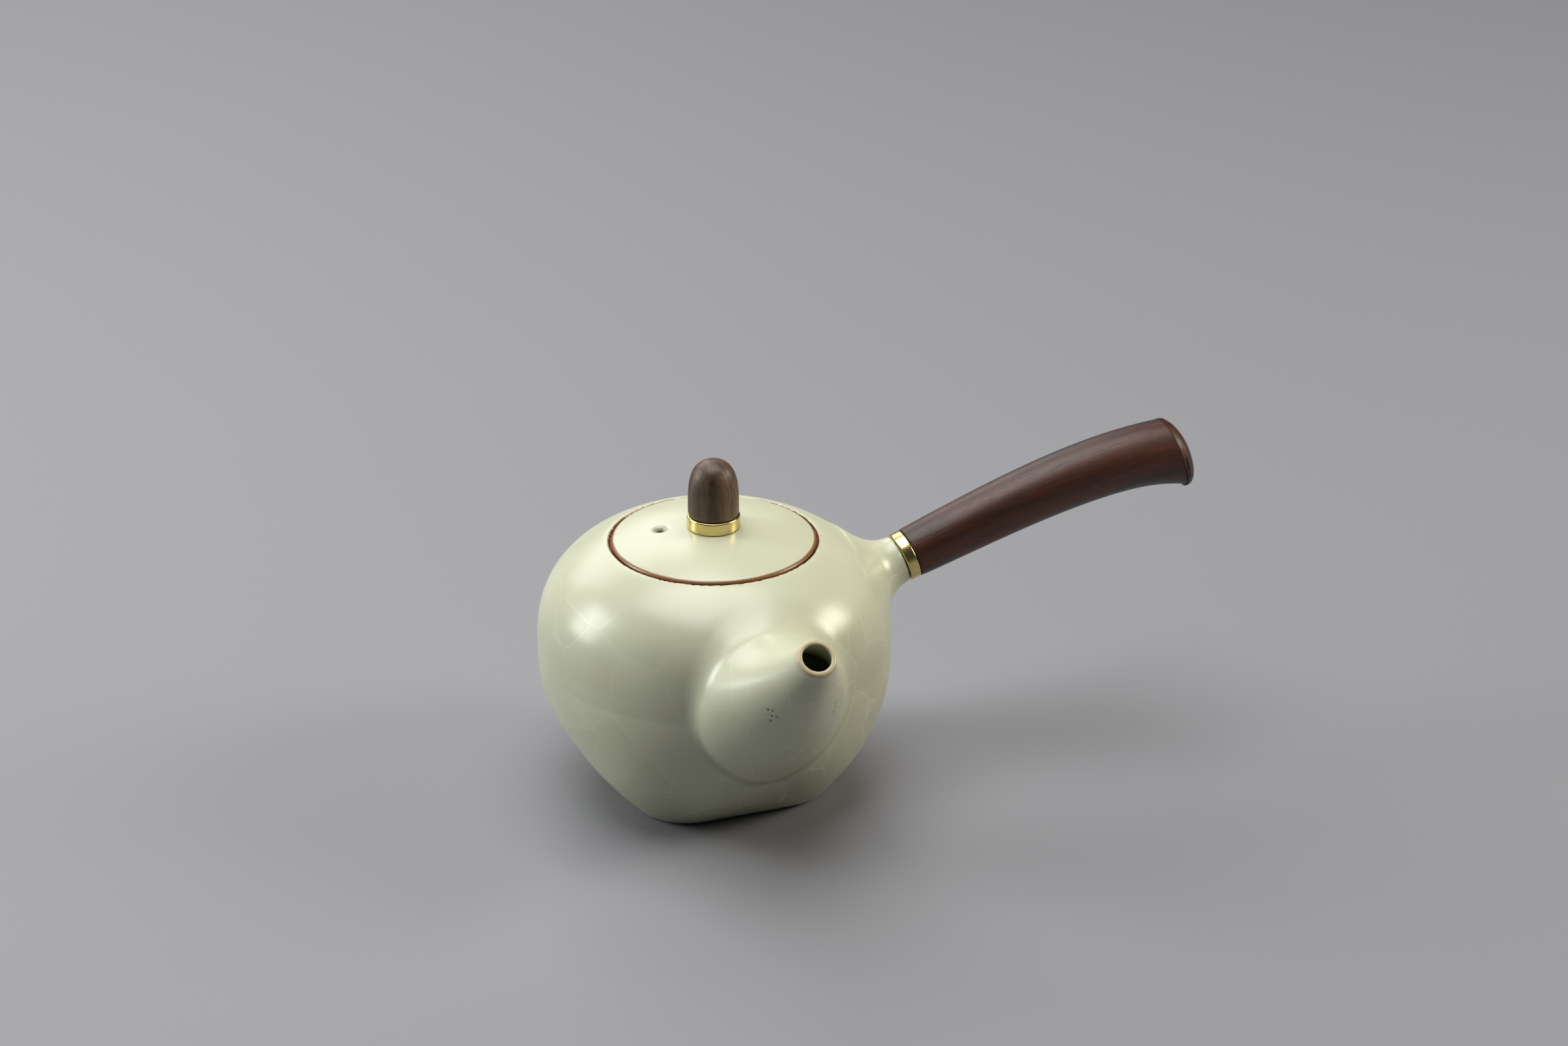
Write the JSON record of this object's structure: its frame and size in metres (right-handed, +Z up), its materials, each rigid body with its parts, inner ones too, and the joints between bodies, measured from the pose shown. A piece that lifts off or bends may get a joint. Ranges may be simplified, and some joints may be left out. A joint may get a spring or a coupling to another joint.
{
  "type": "side-handle teapot",
  "caption": "Round glazed side-handle teapot with a squared foot, a short conical spout, a domed lid, and a rosewood handle and knob with brass fittings.",
  "frame": {"origin": "centre of the flat foot, on the axis of the lid and knob, at the height of the surface the pot stands on", "axes": "+Z up along the lid's axis, +X along the handle, -Y towards the spout"},
  "size_m": [0.1817, 0.1232, 0.0905],
  "materials": {
    "glaze": "glossy pale celadon glaze with a fine crackle",
    "bare_clay": "matt unglazed stoneware",
    "rosewood": "satin oiled fine grain",
    "brass": "polished",
    "steel": "turned",
    "silicone": "matt moulded"
  },
  "bodies": {
    "pot": {"pot_body": "glaze", "spout_strainer": "bare_clay", "socket_bush": "brass", "handle_stud": "steel", "handle_ferrule": "brass", "grip_insert": "brass", "handle_grip": "rosewood"},
    "carrier": {"knob_collar": "brass"},
    "lid": {"lid": "glaze", "knob_washer": "silicone", "knob_screw": "steel", "knob_insert": "brass", "knob": "rosewood"}
  },
  "joints": [
    {"name": "lid_lift", "type": "slide", "parent": "pot", "child": "carrier", "axis": [0, 0, 1], "range_m": [0, 0.06]},
    {"name": "lid_turn", "type": "hinge", "parent": "carrier", "child": "lid", "pos_m": [0, 0, 0.075], "axis": [0, 0, 1], "continuous": true}
  ]
}
